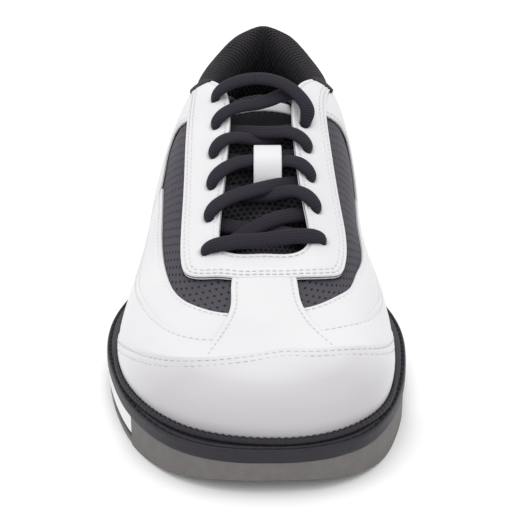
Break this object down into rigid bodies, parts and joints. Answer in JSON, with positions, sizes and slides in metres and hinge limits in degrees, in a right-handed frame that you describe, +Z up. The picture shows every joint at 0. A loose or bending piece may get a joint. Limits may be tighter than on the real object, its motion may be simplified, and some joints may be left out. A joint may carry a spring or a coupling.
{
  "type": "bowling shoe",
  "caption": "Laced low bowling shoe for the right foot, with a stitched welt, toe bumper, perforated side windows, padded mesh collar and peel-off wear pads under a level sole.",
  "frame": {"origin": "centre of the bounding box seen from above, on the floor under the sole", "axes": "+Z up, the toe points toward -Y and the heel toward +Y, +X is the medial (inner) side of this right shoe"},
  "size_m": [0.1215, 0.3011, 0.1119],
  "materials": {
    "white_leather": "smooth coated leather with a fine grain",
    "black_perforated": "charcoal perforated leather",
    "black_mesh": "spacer mesh",
    "black_lining": "knitted lining",
    "black_binding": "narrow woven binding",
    "black_lace": "braided flat oval lace",
    "black_plastic": "hard smooth tip",
    "black_welt": "moulded welt with a matt side",
    "black_thread": "waxed lockstitch thread",
    "white_midsole": "moulded white rubber",
    "grey_rubber": "buffed grey rubber",
    "hook_fabric": "hook tape",
    "loop_fabric": "loop tape",
    "foam": "soft foam",
    "fibre_board": "pressed fibre board",
    "cork": "cork granulate",
    "steel": "spring steel strip"
  },
  "bodies": {
    "shoe": {"toe_piece": "grey_rubber", "forefoot_loops": "loop_fabric", "heel_loops": "loop_fabric", "midsole": "white_midsole", "welt": "black_welt", "welt_bead": "black_welt", "welt_stitching": "black_thread", "shank": "steel", "filler": "cork", "insole_board": "fibre_board", "toe_cap": "white_leather", "vamp_center": "white_leather", "lower_overlay_lateral": "white_leather", "lower_overlay_medial": "white_leather", "mid_overlay_lateral": "white_leather", "mid_overlay_medial": "white_leather", "rear_quarter_lateral": "white_leather", "rear_quarter_medial": "white_leather", "heel_cover": "white_leather", "back_strip": "black_perforated", "back_tab": "white_leather", "eyestay": "white_leather", "eyestay_tape": "fibre_board", "perforated_quarter_lateral": "black_perforated", "perforated_quarter_medial": "black_perforated", "collar_cover": "black_mesh", "collar_lining": "black_mesh", "collar_padding": "foam", "collar_piping_lateral": "black_binding", "collar_piping_medial": "black_binding", "vamp_lining": "black_lining", "quarter_lining_lateral": "black_lining", "quarter_lining_medial": "black_lining", "toe_puff": "fibre_board", "heel_counter": "fibre_board", "tongue_mesh": "black_mesh", "tongue_foam": "foam", "tongue_lining": "black_lining", "lace_keeper": "white_leather", "lace": "black_lace", "lace_aglets": "black_plastic"},
    "traction_pad": {"traction_pad": "grey_rubber", "traction_pad_hooks": "hook_fabric"},
    "heel_pad": {"heel_pad": "grey_rubber", "heel_pad_hooks": "hook_fabric"},
    "footbed": {"footbed": "foam", "footbed_cover": "black_lining"}
  },
  "joints": [
    {"name": "traction_pad_peel", "type": "slide", "parent": "shoe", "child": "traction_pad", "axis": [0, 0, -1], "range_m": [0, 0.03]},
    {"name": "heel_pad_peel", "type": "slide", "parent": "shoe", "child": "heel_pad", "axis": [0, 0, -1], "range_m": [0, 0.03]},
    {"name": "footbed_lift", "type": "hinge", "parent": "shoe", "child": "footbed", "pos_m": [0.003, -0.1355, 0.0192], "axis": [1, 0, 0], "range_deg": [0, 5]}
  ]
}
